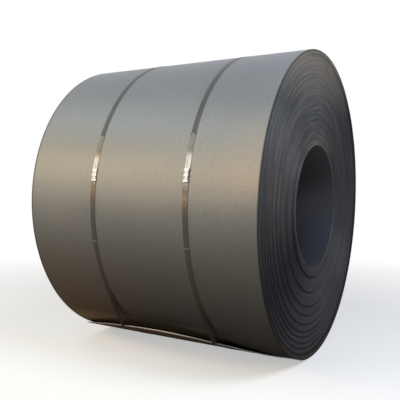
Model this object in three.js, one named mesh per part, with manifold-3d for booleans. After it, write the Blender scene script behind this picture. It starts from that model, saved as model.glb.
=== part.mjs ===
// A coil of hot-rolled steel strip lying on its side, held by two steel straps with crimped seals.
//
// Millimetres, +Z up. The coil's axis runs along X. The origin is on the floor, under the middle of the
// coil. Angles are measured in the YZ plane, in degrees from +Y towards +Z: 90 is the top of the coil,
// 180 its front (-Y) and 270 the line it lies on. The strip is wound inwards as the angle grows.

import * as THREE from "three";
import { mergeVertices } from "three/addons/utils/BufferGeometryUtils.js";
import Module from "manifold-3d";

const wasm = await Module();
wasm.setup();

// ---------------------------------------------------------------- driving dimensions

// Strip and coil
const STRIP_WIDTH = 1520;
const STRIP_THICKNESS = 6;
const COIL_DIAMETER = 1900; // over the outermost turn
const EYE_DIAMETER = 762; // clear through the innermost turn
const HEAD_ANGLE = 240; // where the strip's inner end shows in the eye

// Ends of the coil. The turns don't lie quite true but in bands, and each band leans out towards its
// outer turns. A band has its outer diameter, and how far its inner and outer turns stand out at the
// near end (+X). The strip is equally wide all along, so they sink in by as much at the far end. The
// near end is dished: the outermost turns stand out most, and then the last turns of the collar round
// the eye.
const BANDS = [
  { outer: 870, from: -3, to: 5 },
  { outer: 1060, from: -3, to: 1 },
  { outer: 1236, from: -5, to: -1 },
  { outer: 1346, from: -5, to: -2 },
  { outer: 1456, from: -5, to: -2 },
  { outer: 1550, from: -5, to: -2 },
  { outer: 1610, from: -5, to: -2 },
  { outer: 1682, from: -5, to: -2 },
  { outer: 1746, from: -5, to: -1 },
  { outer: 1832, from: -3, to: 2 },
  { outer: COIL_DIAMETER, from: 6, to: 6 },
];

// Tail: the strip's outer end springs off the coil along a wider bend, and is cut as a tongue
const TAIL_ROOT_FACETS = 3; // facets between the one on the floor and the line where the tail starts
const TAIL_LENGTH = 480; // from there to the tongue's tip
const TAIL_BEND_RADIUS = 1970;
const TONGUE_TIP_X = 26;
const TONGUE_FAR_RADIUS = 1220; // of the tongue's edge in the flat strip, from the tip to the far end
const TONGUE_NEAR_RADIUS = 700; // and from the tip to the near end

// Straps
const STRAP_WIDTH = 32;
const STRAP_THICKNESS = 1;
const STRAP_LEFT_X = -261; // left and right as seen from the front
const STRAP_RIGHT_X = 359;
const STRAP_RIGHT_LEAN = -0.012; // how far along X the right strap strays for each unit of height
const STRAPS = [
  { side: "left", x: STRAP_LEFT_X, lean: 0 },
  { side: "right", x: STRAP_RIGHT_X, lean: STRAP_RIGHT_LEAN },
];
const STRAP_OUTER_END_ANGLE = 153.5; // above the seal
const STRAP_INNER_END_ANGLE = 191.5; // below the seal, under the strap's other end
const STRAP_RAMP_DEGREES = 3; // over which the strap comes down off its own inner end

// Seals
const SEAL_ANGLE = 167.7;
const SEAL_LENGTH = 70;
const SEAL_SHEET = 1.2;
const SEAL_SIDE_PLAY = 0.6;
const NOTCH_LENGTH = 11;
const NOTCH_DEPTH = 5;
const NOTCH_SPACING = 26;
const SEAL_STEPS = 12;

// Fits and facets
const GAP = 0.3; // between pieces that touch
const STEPS = 84; // facets round the coil
const EYE_STEPS = 60;
const TAIL_STEPS = 6;

// ---------------------------------------------------------------- worked out from them

const COIL_RADIUS = COIL_DIAMETER / 2;
const EYE_RADIUS = EYE_DIAMETER / 2;
const STEP = 360 / STEPS;
const FLAT_BOTTOM = 270 - STEP / 2; // a corner angle that puts a facet flat on the floor
const TAIL_ROOT_ANGLE = FLAT_BOTTOM - TAIL_ROOT_FACETS * STEP;
const TWO_LAYERS = 2 * STRAP_THICKNESS + GAP;

const radians = THREE.MathUtils.degToRad;
const degrees = THREE.MathUtils.radToDeg;
const onCircle = (angle, radius) =>
  new THREE.Vector2(radius * Math.cos(radians(angle)), radius * Math.sin(radians(angle)));

// Outer radius of the coil's section, counted from the tail's root
const outerRadius = (angle) =>
  COIL_RADIUS - (STRIP_THICKNESS * (angle - TAIL_ROOT_ANGLE)) / 360;

// ---------------------------------------------------------------- solids and meshes

// A solid of manifold-3d from a three.js geometry
function solidFrom(geometry) {
  const bare = new THREE.BufferGeometry();
  bare.setAttribute("position", geometry.getAttribute("position"));
  bare.setIndex(geometry.index);
  const merged = mergeVertices(bare, 1e-3);
  return new wasm.Manifold(
    new wasm.Mesh({
      numProp: 3,
      vertProperties: merged.attributes.position.array,
      triVerts: new Uint32Array(merged.index.array),
    }),
  );
}

function geometryFrom(solid) {
  const mesh = solid.getMesh();
  const geometry = new THREE.BufferGeometry();
  geometry.setAttribute("position", new THREE.BufferAttribute(mesh.vertProperties, 3));
  geometry.setIndex(new THREE.BufferAttribute(mesh.triVerts, 1));
  geometry.computeVertexNormals();
  return geometry;
}

// Turns a geometry made along Z into one along the coil's axis: its X and Y become Y and Z
function alongAxis(geometry) {
  const basis = new THREE.Matrix4().makeBasis(
    new THREE.Vector3(0, 1, 0),
    new THREE.Vector3(0, 0, 1),
    new THREE.Vector3(1, 0, 0),
  );
  return geometry.applyMatrix4(basis);
}

// An extrusion along the coil's axis, centred on x
function extrudeAlongAxis(shape, width, x = 0) {
  const geometry = new THREE.ExtrudeGeometry(shape, { depth: width, bevelEnabled: false });
  return alongAxis(geometry.translate(0, 0, x - width / 2));
}

// Moves every corner of a geometry by place(corner)
function reshape(geometry, place) {
  const position = geometry.getAttribute("position");
  const corner = new THREE.Vector3();
  for (let i = 0; i < position.count; i++) {
    corner.fromBufferAttribute(position, i);
    position.setXYZ(i, ...place(corner).toArray());
  }
  return geometry;
}

// ---------------------------------------------------------------- coil

// Corners of the coil's spiral outside, from the tail's root round to the turn under it
function spiralCorners() {
  const corners = [];
  for (let i = 0; i <= STEPS; i++) {
    const angle = TAIL_ROOT_ANGLE + i * STEP;
    corners.push(onCircle(angle, outerRadius(angle)));
  }
  return corners;
}

// A point of the tail: its distance along the strip from the root, and its height over the outer face
function onTail(along, height) {
  const centre = onCircle(TAIL_ROOT_ANGLE, COIL_RADIUS - TAIL_BEND_RADIUS);
  const angle = TAIL_ROOT_ANGLE - degrees(along / TAIL_BEND_RADIUS);
  return centre.add(onCircle(angle, TAIL_BEND_RADIUS + height));
}

// Corners of the tail's outer or inner face, from just beyond the root to a length
function tailCorners(length, height) {
  const corners = [];
  const spacing = TAIL_LENGTH / TAIL_STEPS;
  for (let along = spacing; along < length - 1; along += spacing) corners.push(onTail(along, height));
  return [...corners, onTail(length, height)];
}

// The wound section: a spiral outside that runs on into the tail, and a spiral eye
function woundSection() {
  const eye = [];
  for (let i = 0; i <= EYE_STEPS; i++) {
    const back = 360 - (i * 360) / EYE_STEPS;
    eye.push(onCircle(HEAD_ANGLE - back, EYE_RADIUS + (STRIP_THICKNESS * back) / 360));
  }
  const section = new THREE.Shape([
    ...spiralCorners(),
    ...tailCorners(TAIL_LENGTH, -STRIP_THICKNESS),
    ...tailCorners(TAIL_LENGTH, 0).reverse(),
  ]);
  section.holes.push(new THREE.Path(eye));
  return section;
}

// The turned blank whose ends carry the bands. The far end is the near end moved by the strip's width.
function turnedBlank() {
  const clear = STRIP_THICKNESS * 12; // beyond the section, inside the eye and outside the tail
  const face = [new THREE.Vector2(0, STRIP_WIDTH / 2 + BANDS[0].from)];
  let inner = EYE_RADIUS - clear;
  BANDS.forEach((band, i) => {
    const outer = i < BANDS.length - 1 ? band.outer / 2 : band.outer / 2 + clear;
    face.push(new THREE.Vector2(inner, STRIP_WIDTH / 2 + band.from));
    face.push(new THREE.Vector2(outer, STRIP_WIDTH / 2 + band.to));
    inner = outer;
  });
  const farFace = face.map((p) => new THREE.Vector2(p.x, p.y - STRIP_WIDTH));
  const profile = [...farFace, ...face.reverse()];
  const geometry = new THREE.LatheGeometry(profile, STEPS, radians(FLAT_BOTTOM));
  return alongAxis(geometry.rotateX(Math.PI / 2).rotateZ(Math.PI / 2));
}

// Length of the tail at x: its edge is two arcs that meet at the tip
function tailLength(x) {
  const fromTip = x - TONGUE_TIP_X;
  const radius = fromTip < 0 ? TONGUE_FAR_RADIUS : TONGUE_NEAR_RADIUS;
  const across = Math.min(Math.abs(fromTip), radius);
  return Math.max(TAIL_LENGTH - radius + Math.sqrt(radius ** 2 - across ** 2), STRIP_THICKNESS);
}

// What is cut off the tail's end to leave the tongue. It reaches halfway into the gap under the tail.
function tongueCutter(width) {
  const beyond = 20;
  const slab = new THREE.BoxGeometry(width, 1, 1, 32, 8, 1);
  return reshape(slab, (p) => {
    const edge = tailLength(p.x);
    const along = edge + (p.y + 0.5) * (TAIL_LENGTH + beyond - edge);
    const gap = (along ** 2 / 2) * (1 / COIL_RADIUS - 1 / TAIL_BEND_RADIUS);
    const height = p.z < 0 ? -STRIP_THICKNESS - gap / 2 : STRIP_THICKNESS;
    const at = onTail(along, height);
    return new THREE.Vector3(p.x, at.x, at.y);
  });
}

function coilSolid() {
  const spare = STRIP_WIDTH + 60; // wider than the blank is long
  const wound = solidFrom(extrudeAlongAxis(woundSection(), spare));
  const cut = wound.subtract(solidFrom(tongueCutter(spare + 20)));
  return cut.intersect(solidFrom(turnedBlank()));
}

// ---------------------------------------------------------------- straps

// Corners of the convex outline round a set of points, anticlockwise
function convexOutline(points) {
  const sorted = [...points].sort((a, b) => a.x - b.x || a.y - b.y);
  const half = (list) => {
    const kept = [];
    for (const p of list) {
      while (kept.length > 1) {
        const [a, b] = kept.slice(-2);
        const turn = (b.x - a.x) * (p.y - a.y) - (b.y - a.y) * (p.x - a.x);
        if (turn > 1e-6) break;
        kept.pop();
      }
      kept.push(p);
    }
    return kept.slice(0, -1);
  };
  return [...half(sorted), ...half(sorted.reverse())];
}

// What a tight strap is stretched over: the coil, its tail and the base of the seal
function strapBed(x, lean) {
  const xAtTail = x + lean * onTail(TAIL_LENGTH, 0).y;
  const sides = [xAtTail - STRAP_WIDTH / 2, xAtTail + STRAP_WIDTH / 2];
  const edge = Math.max(...sides.map(tailLength));
  const points = [...spiralCorners(), ...tailCorners(edge, 0)];
  const half = degrees(SEAL_LENGTH / 2 / COIL_RADIUS);
  for (const angle of [SEAL_ANGLE - half, SEAL_ANGLE + half]) {
    points.push(onCircle(angle, outerRadius(angle + 360) + 2 * GAP + SEAL_SHEET));
  }
  return convexOutline(points);
}

// Radius of a closed convex outline at an angle
function radiusAt(outline, angle) {
  const ray = onCircle(angle, 1);
  for (let i = 0; i < outline.length; i++) {
    const a = outline[i];
    const b = outline[(i + 1) % outline.length];
    const side = b.clone().sub(a);
    const across = ray.x * side.y - ray.y * side.x;
    const reach = (a.x * side.y - a.y * side.x) / across;
    const along = (a.x * ray.y - a.y * ray.x) / across;
    if (reach > 0 && along >= -1e-9 && along <= 1 + 1e-9) return reach;
  }
  throw new Error(`no side of the strap's bed lies at ${angle} degrees`);
}

// Every angle at which the strap bends, from its outer end round to its inner end
function strapAngles(bed) {
  const corners = bed.map((p) => degrees(Math.atan2(p.y, p.x)));
  const start = STRAP_OUTER_END_ANGLE;
  const end = STRAP_INNER_END_ANGLE + 360;
  const angles = [start, STRAP_INNER_END_ANGLE, STRAP_INNER_END_ANGLE + STRAP_RAMP_DEGREES, end];
  for (const corner of corners) {
    for (let angle = corner - 360; angle < end; angle += 360) {
      if (angle > start) angles.push(angle);
    }
  }
  angles.sort((a, b) => a - b);
  return angles.filter((angle, i) => i === 0 || angle - angles[i - 1] > 0.2);
}

// How far a strap's underside stands off its bed: it starts on top of its own inner end
function strapRise(angle) {
  const down = (angle - STRAP_INNER_END_ANGLE) / STRAP_RAMP_DEGREES;
  return GAP + (1 - THREE.MathUtils.clamp(down, 0, 1)) * (STRAP_THICKNESS + GAP);
}

// Side view of a strap: one closed band whose ends overlap
function strapOutline(bed) {
  const angles = strapAngles(bed);
  const side = (extra) =>
    angles.map((angle) => onCircle(angle, radiusAt(bed, angle) + strapRise(angle) + extra));
  return new THREE.Shape([...side(STRAP_THICKNESS), ...side(0).reverse()]);
}

// ---------------------------------------------------------------- seals

// Wraps a geometry made flat round the coil: its X stays, its Y runs up the coil's front from the
// seal's middle, and its Z stands off the bed
function wrapAtSeal(geometry, bed) {
  return reshape(geometry, (p) => {
    const angle = SEAL_ANGLE - degrees(p.y / COIL_RADIUS);
    const at = onCircle(angle, radiusAt(bed, angle) + p.z);
    return new THREE.Vector3(p.x, at.x, at.y);
  });
}

// A box whose length is divided, so that it can be wrapped
function flatBar(width, length, low, high) {
  const bar = new THREE.BoxGeometry(width, length, high - low, 1, SEAL_STEPS, 1);
  return bar.translate(0, 0, (low + high) / 2);
}

// The notches that the sealing tool shears into both edges of the joint
function notches(x, bed) {
  const reach = STRAP_WIDTH; // from the middle, to well outside the seal
  const height = 20;
  const cutters = [];
  for (const side of [-1, 1]) {
    for (const place of [-1, 1]) {
      const outline = new THREE.Shape([
        new THREE.Vector2(STRAP_WIDTH / 2 - NOTCH_DEPTH, -NOTCH_LENGTH / 4),
        new THREE.Vector2(reach, -NOTCH_LENGTH),
        new THREE.Vector2(reach, NOTCH_LENGTH),
        new THREE.Vector2(STRAP_WIDTH / 2 - NOTCH_DEPTH, NOTCH_LENGTH / 4),
      ]);
      const cutter = new THREE.ExtrudeGeometry(outline, { depth: height, bevelEnabled: false });
      if (side < 0) cutter.rotateZ(Math.PI);
      cutter.translate(x, (place * NOTCH_SPACING) / 2, -height / 2);
      cutters.push(solidFrom(wrapAtSeal(cutter, bed)));
    }
  }
  return cutters.reduce((all, one) => all.add(one));
}

function sealSolid(x, bed) {
  const inside = STRAP_WIDTH + 2 * SEAL_SIDE_PLAY;
  const top = TWO_LAYERS + 2 * GAP;
  const outer = flatBar(inside + 2 * SEAL_SHEET, SEAL_LENGTH, -SEAL_SHEET, top + SEAL_SHEET);
  const inner = flatBar(inside, SEAL_LENGTH + 10, 0, top);
  const sleeve = solidFrom(wrapAtSeal(outer.translate(x, 0, 0), bed));
  const hollow = solidFrom(wrapAtSeal(inner.translate(x, 0, 0), bed));
  return sleeve.subtract(hollow).subtract(notches(x, bed));
}

// ---------------------------------------------------------------- assembly

const millScale = new THREE.MeshStandardMaterial({ color: 0x55565a, roughness: 0.45, metalness: 0.7 });
const strapSteel = new THREE.MeshStandardMaterial({ color: 0x5c534e, roughness: 0.4, metalness: 0.8 });
const sealSteel = new THREE.MeshStandardMaterial({ color: 0xb9b6ae, roughness: 0.3, metalness: 0.9 });

const coil = new THREE.Group();
// The lowest facet of the straps lies on the floor
coil.position.z =
  outerRadius(FLAT_BOTTOM) * Math.cos(radians(STEP / 2)) + GAP + STRAP_THICKNESS;

// A piece that leans strays along X as it goes up
function addPiece(name, solid, material, lean = 0) {
  const shear = new THREE.Matrix4().makeShear(0, 0, 0, 0, lean, 0);
  const mesh = new THREE.Mesh(geometryFrom(solid).applyMatrix4(shear), material);
  mesh.name = name;
  coil.add(mesh);
}

addPiece("steel_coil", coilSolid(), millScale);

for (const { side, x, lean } of STRAPS) {
  const bed = strapBed(x, lean);
  const strap = solidFrom(extrudeAlongAxis(strapOutline(bed), STRAP_WIDTH, x));
  addPiece(`strap_${side}`, strap.subtract(notches(x, bed)), strapSteel, lean);
  addPiece(`seal_${side}`, sealSolid(x, bed), sealSteel, lean);
}

export default coil;
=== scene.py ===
# %% [markdown]
# # A coil of hot-rolled steel strip
#
# The object is one very long strip of steel, wound up tight while it was hot and left to lie on its
# side. Two flat steel straps, each locked by a small crimped seal, keep it from springing open. This
# lesson dresses the plain solid model of that coil: it winds the real strip, ties the straps and gives
# every surface its finish. The solid model is loaded first, because every piece is placed by it.

# %% Load the solid model
import math
import random

import bpy
import numpy as np
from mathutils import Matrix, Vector


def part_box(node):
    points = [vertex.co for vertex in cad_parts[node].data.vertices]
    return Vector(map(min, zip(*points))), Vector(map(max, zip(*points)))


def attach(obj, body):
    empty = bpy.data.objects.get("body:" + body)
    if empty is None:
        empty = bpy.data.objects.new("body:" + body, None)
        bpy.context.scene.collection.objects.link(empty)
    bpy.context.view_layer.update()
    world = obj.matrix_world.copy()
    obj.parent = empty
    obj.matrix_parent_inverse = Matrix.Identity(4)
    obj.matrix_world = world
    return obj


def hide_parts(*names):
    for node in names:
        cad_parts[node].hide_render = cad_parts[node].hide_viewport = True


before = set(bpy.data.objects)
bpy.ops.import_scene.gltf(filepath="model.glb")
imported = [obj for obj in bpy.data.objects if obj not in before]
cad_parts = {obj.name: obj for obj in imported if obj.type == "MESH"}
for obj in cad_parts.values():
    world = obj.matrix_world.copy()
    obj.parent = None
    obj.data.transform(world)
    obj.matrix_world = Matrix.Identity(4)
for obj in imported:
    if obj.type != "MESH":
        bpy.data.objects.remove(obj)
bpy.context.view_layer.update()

print("solid pieces:", ", ".join(sorted(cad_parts)))

# %% [markdown]
# ## Sizes
#
# All lengths are metres. X runs along the coil's axis and Z is up. An angle is measured round the axis
# in degrees, from +Y towards +Z, so that 90 is the top of the coil and 180 its front. The coil's radius
# and the height of its axis are read off the solid model, which lies on one flat facet. The rest are
# sizes of the real strip.

# %% Sizes of the coil
STRIP_WIDTH = 1.520
STRIP_THICKNESS = 0.006  # with the hairline gap to the next turn
AIR = 0.0003  # that gap
EDGE_BEVEL = 0.0009
EYE_RADIUS = 0.381
TAIL_ROOT = 255.0  # angle at which the strip's outer end leaves the coil
HEAD = 240.0  # angle at which its inner end shows in the eye

low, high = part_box("steel_coil")
across = high.z - low.z + STRIP_THICKNESS / 2  # the top is half a turn further in than the bottom
AXIS_HEIGHT = low.z + across / 2
COIL_RADIUS = across / 2 + STRIP_THICKNESS * (270 - TAIL_ROOT) / 360
TURNS = round((COIL_RADIUS - EYE_RADIUS) / STRIP_THICKNESS - 1) + (HEAD - TAIL_ROOT) / 360
PITCH = (COIL_RADIUS - EYE_RADIUS - STRIP_THICKNESS) / TURNS
print(f"coil radius {COIL_RADIUS:.4f} m, axis {AXIS_HEIGHT:.4f} m up, {TURNS:.2f} turns")

# %% [markdown]
# ## Points round the axis
#
# Nearly everything here is bent round the coil, so two small helpers do most of the work. One turns an
# angle into a direction in the YZ plane. The other builds a mesh from a row of rings, the way a skirt
# is built from hoops: each ring is the cross-section at one station, and neighbouring rings are joined
# by four-sided faces. Blender's curve objects with a bevel could do the same, but with rings we decide
# where every edge of the strip lies, and which finish each side gets.

# %% Directions and objects
def direction(degrees):
    """Unit vectors in the YZ plane at angles round the axis."""
    turn = np.radians(degrees)
    return np.stack([np.cos(turn), np.sin(turn)], axis=-1)


def add_object(name, data):
    """A new object in the scene, with a mesh, a lamp or a camera as its data."""
    added = bpy.data.objects.new(name, data)
    bpy.context.scene.collection.objects.link(added)
    return added


print("the coil's top lies in direction", direction(90).round(3))


# %% Meshes from rings
def mesh_from_rings(name, rings, slots, materials, sharp_degrees=30, loop=False):
    """A mesh through rings[station, corner]; slots[station, side] picks each face's material.

    The row of rings gets a cap at both ends, unless it is a loop that comes back to its start.
    """
    stations, corners, _ = rings.shape
    index = np.arange(stations * corners).reshape(stations, corners)
    here, there = (index, np.roll(index, -1, 0)) if loop else (index[:-1], index[1:])
    sides = np.stack([here, np.roll(here, -1, 1), np.roll(there, -1, 1), there], axis=2)
    faces = sides.reshape(-1, 4).tolist()
    face_slots = slots.ravel()
    if not loop:
        faces += [index[0][::-1].tolist(), index[-1].tolist()]
        face_slots = np.append(face_slots, [slots[0, 0], slots[-1, 0]])
    mesh = bpy.data.meshes.new(name)
    mesh.from_pydata(rings.reshape(-1, 3).tolist(), [], faces)
    mesh.polygons.foreach_set("material_index", face_slots.astype(np.int32))
    mesh.shade_smooth()
    mesh.set_sharp_from_angle(angle=math.radians(sharp_degrees))
    for material in materials:
        mesh.materials.append(material)
    print(f"{name}: {len(faces)} faces, {sum(map(len, faces)) - 2 * len(faces)} triangles")
    return add_object(name, mesh)


# %% Rings of a flat bar
def flat_section(near, far, depth, bevel):
    """Eight corners of a flat bar with bevelled edges, as X places and depths under its outer face."""
    near, far, bevel = np.broadcast_arrays(near, far, bevel)
    deep = np.full_like(near, depth)
    none = np.zeros_like(near)
    x = [near - bevel, near, near, near - bevel, far + bevel, far, far, far + bevel]
    down = [none, bevel, deep - bevel, deep, deep, deep - bevel, bevel, none]
    return np.stack(x, axis=1), np.stack(down, axis=1)


def rings_along(path, outward, x, down):
    """Rings of 3-D points: path is the outer face's line in the YZ plane, measured from the axis."""
    yz = path[:, None, :] - outward[:, None, :] * down[:, :, None]
    return np.stack([x, yz[..., 0], yz[..., 1] + AXIS_HEIGHT], axis=2)


# %% [markdown]
# ## How the turns lie
#
# A mill never winds a strip perfectly true. Batches of turns drift out towards one end of the coil and
# then step back, so the end face shows bands, each leaning out towards its outer turn. This coil's near
# end is a little dished too: the outermost turns stand out most, and the last turns of the collar round
# the eye come next. The strip is equally wide all along, so a turn that stands out at the near end sinks
# in at the far one. The list holds each band's outer radius, and how far its first and last turns stand
# out. A small random offset for each turn breaks up the rest.

# %% Bands of the end
BANDS = [
    (0.435, -0.003, 0.005),
    (0.530, -0.003, 0.001),
    (0.618, -0.005, -0.001),
    (0.673, -0.005, -0.002),
    (0.728, -0.005, -0.002),
    (0.775, -0.005, -0.002),
    (0.805, -0.005, -0.002),
    (0.841, -0.005, -0.002),
    (0.873, -0.005, -0.001),
    (0.916, -0.003, 0.002),
    (0.960, 0.006, 0.006),
]


def band_offset(radius):
    """How far a turn stands out at the near end, by the band that its radius falls in."""
    inner = EYE_RADIUS
    for outer, first, last in BANDS:
        if radius <= outer:
            return first + (last - first) * (radius - inner) / (outer - inner)
        inner = outer
    return last


print(f"the end has {len(BANDS)} bands")

# %% Offsets of the turns
TURN_JITTER = 0.0008
SHIFT_ANGLE = 60.0  # where one turn's offset passes into the next one's
SHIFT_DEGREES = 24.0

random.seed(11)
turn_offsets = []
for turn in range(math.ceil(TURNS) + 2):
    radius = COIL_RADIUS - PITCH * (turn + 0.5) - STRIP_THICKNESS / 2
    turn_offsets.append(band_offset(radius) + random.uniform(-TURN_JITTER, TURN_JITTER))
turn_offsets[0] = BANDS[-1][1]  # the outermost turn is the straight one


def offset_at(turned):
    """Offset of the strip after it has turned so many degrees inwards from the tail's root."""
    from_shift = turned - (SHIFT_ANGLE - TAIL_ROOT) % 360
    passed = np.floor(from_shift / 360).astype(int) + 1
    share = np.clip((from_shift % 360) / SHIFT_DEGREES, 0, 1)
    share = share * share * (3 - 2 * share)
    offsets = np.array(turn_offsets)
    return offsets[np.maximum(passed - 1, 0)] * (1 - share) + offsets[passed] * share


print(f"turns stand out from {min(turn_offsets) * 1000:.1f} to {max(turn_offsets) * 1000:.1f} mm")

# %% [markdown]
# ## The tail
#
# The strip's outer end springs away from the coil, because steel that was wound hot wants to be less
# curved than the coil is. It follows a wider bend, and it was cut with a rounded tongue. Its edge is
# two arcs that meet at the tip. We cut the tongue by narrowing the strip towards the tip, station by
# station, so that the tail stays part of the same mesh as the turns. The stations crowd together at the
# tip, where the arc turns fastest.

# %% Stations along the tail
TAIL_LENGTH = 0.480
TAIL_BEND = 1.970
TONGUE_TIP = 0.026
TONGUE_FAR_RADIUS = 1.220
TONGUE_NEAR_RADIUS = 0.700
TAIL_STATIONS = 56
FIRST_STATION = 0.02  # squared, its distance from the tip in tail lengths


def tail_line(along, height=0.0):
    """Point and outward direction of the tail's outer face, so far along the strip from its root."""
    centre = direction(TAIL_ROOT) * (COIL_RADIUS - TAIL_BEND)
    outward = direction(TAIL_ROOT - np.degrees(along / TAIL_BEND))
    return centre + outward * (TAIL_BEND + height), outward


def half_tongue(along, radius):
    """Width of the tongue on one side of its tip."""
    left = TAIL_LENGTH - along
    return np.sqrt(np.maximum(2 * radius * left - left**2, 0))


def tail_length(x):
    """Length of the tail at x."""
    radius = TONGUE_FAR_RADIUS if x < TONGUE_TIP else TONGUE_NEAR_RADIUS
    beside = min(abs(x - TONGUE_TIP), radius)
    return max(TAIL_LENGTH - radius + math.sqrt(radius**2 - beside**2), 0)


tail_along = TAIL_LENGTH * (1 - np.linspace(FIRST_STATION, 1, TAIL_STATIONS) ** 2)
tail_path, tail_outward = tail_line(tail_along)
near_side = turn_offsets[0] + STRIP_WIDTH / 2
tail_near = np.minimum(TONGUE_TIP + half_tongue(tail_along, TONGUE_NEAR_RADIUS), near_side)
tail_far = np.maximum(TONGUE_TIP - half_tongue(tail_along, TONGUE_FAR_RADIUS), near_side - STRIP_WIDTH)
lift = np.linalg.norm(tail_path[0]) - COIL_RADIUS
print(f"the tail's tip stands {lift * 1000:.0f} mm off the coil")

# %% [markdown]
# ## Stations along the turns
#
# After its root the strip simply spirals in. The outermost turns get a station every 1.7 degrees,
# because their faces and outline are in plain view, and so does the turn that lines the eye. The turns
# between them show only their edges, so a coarser step does, and that keeps the whole strip under two
# hundred thousand triangles.

# %% Stations along the turns
FINE_STEP = 360 / 216
COARSE_STEP = 360 / 100
FINE_TURNS = 2  # the outermost

fine = np.arange(0, FINE_TURNS * 360, FINE_STEP)
coarse = np.arange(FINE_TURNS * 360, (TURNS - 1) * 360 - COARSE_STEP, COARSE_STEP)
lining = np.arange(coarse[-1] + COARSE_STEP, TURNS * 360, FINE_STEP)
turned = np.concatenate([fine, coarse, lining, [TURNS * 360]])
coil_outward = direction(TAIL_ROOT + turned)
coil_path = coil_outward * (COIL_RADIUS - PITCH * turned / 360)[:, None]
coil_near = STRIP_WIDTH / 2 + offset_at(turned)
coil_far = coil_near - STRIP_WIDTH
print(f"{len(tail_along)} stations along the tail and {len(turned)} round the coil")

# %% [markdown]
# ## Finishes: nodes in words
#
# The materials are built from nodes, so they have no picture behind them and hold at any distance. To
# keep them readable, each kind of node gets one short helper, and a material then reads like a recipe.
# A helper takes numbers, colours or the sockets of other nodes, whichever comes. The world is made of
# nodes too, so a recipe serves for it as well.

# %% Node helpers
class Recipe:
    """A new material, or the world, and short ways to add nodes to it."""

    def __init__(self, name, owners=bpy.data.materials, shader="Principled BSDF"):
        self.owner = owners.new(name)
        self.owner.use_nodes = True
        self.tree = self.owner.node_tree
        self.shader = self.tree.nodes[shader]

    def feed(self, socket, value):
        """Links another node's socket to this one, or sets it to a number or a colour."""
        if isinstance(value, bpy.types.NodeSocket):
            self.tree.links.new(value, socket)
        elif socket.type == "RGBA":
            socket.default_value = (*value, 1.0)
        else:
            socket.default_value = value

    def feed_named(self, node, values):
        for name, value in values.items():
            self.feed(node.inputs[name.replace("_", " ")], value)

    def node(self, kind, *values, **named):
        """A new node, with values for its first inputs or for the inputs that are named."""
        node = self.tree.nodes.new(f"ShaderNode{kind}")
        for socket, value in zip(node.inputs, values):
            self.feed(socket, value)
        self.feed_named(node, named)
        return node

    def math(self, operation, *values):
        """One operation on one or two values, or on more of them in turn."""
        node = self.node("Math", *values[:2])
        node.operation = operation
        if len(values) > 2:
            return self.math(operation, node.outputs[0], *values[2:])
        return node.outputs[0]

    def plus(self, *terms):
        return self.math("ADD", *terms)

    def times(self, *factors):
        return self.math("MULTIPLY", *factors)

    def most(self, *shares):
        return self.math("MAXIMUM", *shares)

    def point(self):
        """The place on the object, as x, y and z sockets."""
        return self.node("SeparateXYZ", self.node("TexCoord").outputs["Object"]).outputs

    def vector(self, x, y, z):
        return self.node("CombineXYZ", x, y, z).outputs[0]

    def noise(self, vector, scale=1.0, detail=2.0, roughness=0.5):
        node = self.node("TexNoise", Vector=vector, Scale=scale, Detail=detail, Roughness=roughness)
        return node.outputs["Fac"]

    def spread(self, value, low, high, to_low=0.0, to_high=1.0):
        """Maps low..high onto to_low..to_high and clips what lies outside."""
        return self.node("MapRange", value, low, high, to_low, to_high).outputs[0]

    def mix(self, share, a, b):
        """A colour between a and b."""
        node = self.node("Mix", share)
        node.data_type = "RGBA"
        self.feed(node.inputs[6], a)
        self.feed(node.inputs[7], b)
        return node.outputs[2]

    def ramp(self, value, stops):
        """A colour that runs through (place, colour) stops."""
        node = self.node("ValToRGB", value)
        elements = node.color_ramp.elements
        for element, (place, colour) in zip(elements, (stops[0], stops[-1])):
            element.position, element.color = place, (*colour, 1)
        for place, colour in stops[1:-1]:
            elements.new(place).color = (*colour, 1)
        return node.outputs[0]

    def bump(self, height, strength, distance, **below):
        """Fine relief, over coarser relief if that is given as Normal."""
        return self.node("Bump", Height=height, Strength=strength, Distance=distance, **below).outputs[0]

    def finish(self, colour, roughness, normal, **others):
        main = {"Base Color": colour, "Roughness": roughness, "Normal": normal}
        self.feed_named(self.shader, main | others)
        print(f"{self.owner.name}: {len(self.tree.nodes)} nodes")
        return self.owner


# %% Places round the axis
def round_the_axis(recipe):
    """A point's x, height and distance from the axis, and the cosine and sine of its angle."""
    x, y, z = recipe.point()
    up = recipe.math("SUBTRACT", z, AXIS_HEIGHT)
    radius = recipe.math("SQRT", recipe.plus(recipe.times(y, y), recipe.times(up, up)))
    return x, z, radius, recipe.math("DIVIDE", y, radius), recipe.math("DIVIDE", up, radius)


def ring_place(recipe, x, radius, cos, sin):
    """The input for noise that sits at x, at a distance from the axis and at an angle."""
    return recipe.vector(x, recipe.times(cos, radius), recipe.times(sin, radius))


# %% [markdown]
# ## Dust, rust and painted light
#
# A coil that has lain in a yard is clean above and dirty below: rain washes the dust down, and the
# ground splashes it up again. The darkening low down is also painted shade, for the underside that the
# light doesn't reach. So it follows the height, and no painted map is needed. The dust is a brown that
# is nearly black. It has turned to rust towards the far end. Under the near part a lighter rust brown
# is partly painted fill light in the shadow above the tail, and the paler colour in the wedge above the
# tail is painted fill light, tan towards the far end. The tail's own far end has a rusty tan that is
# partly a painted highlight.

# %% Dust, rust and painted light low down
def dust_and_shade_share(recipe, z):
    """How much dust and painted shade lie over the steel: none above the axis, all of it near the floor.
    """
    below = recipe.spread(z, 1.03, 0.15)
    return recipe.times(below, recipe.math("SUBTRACT", 2.0, below))


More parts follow.
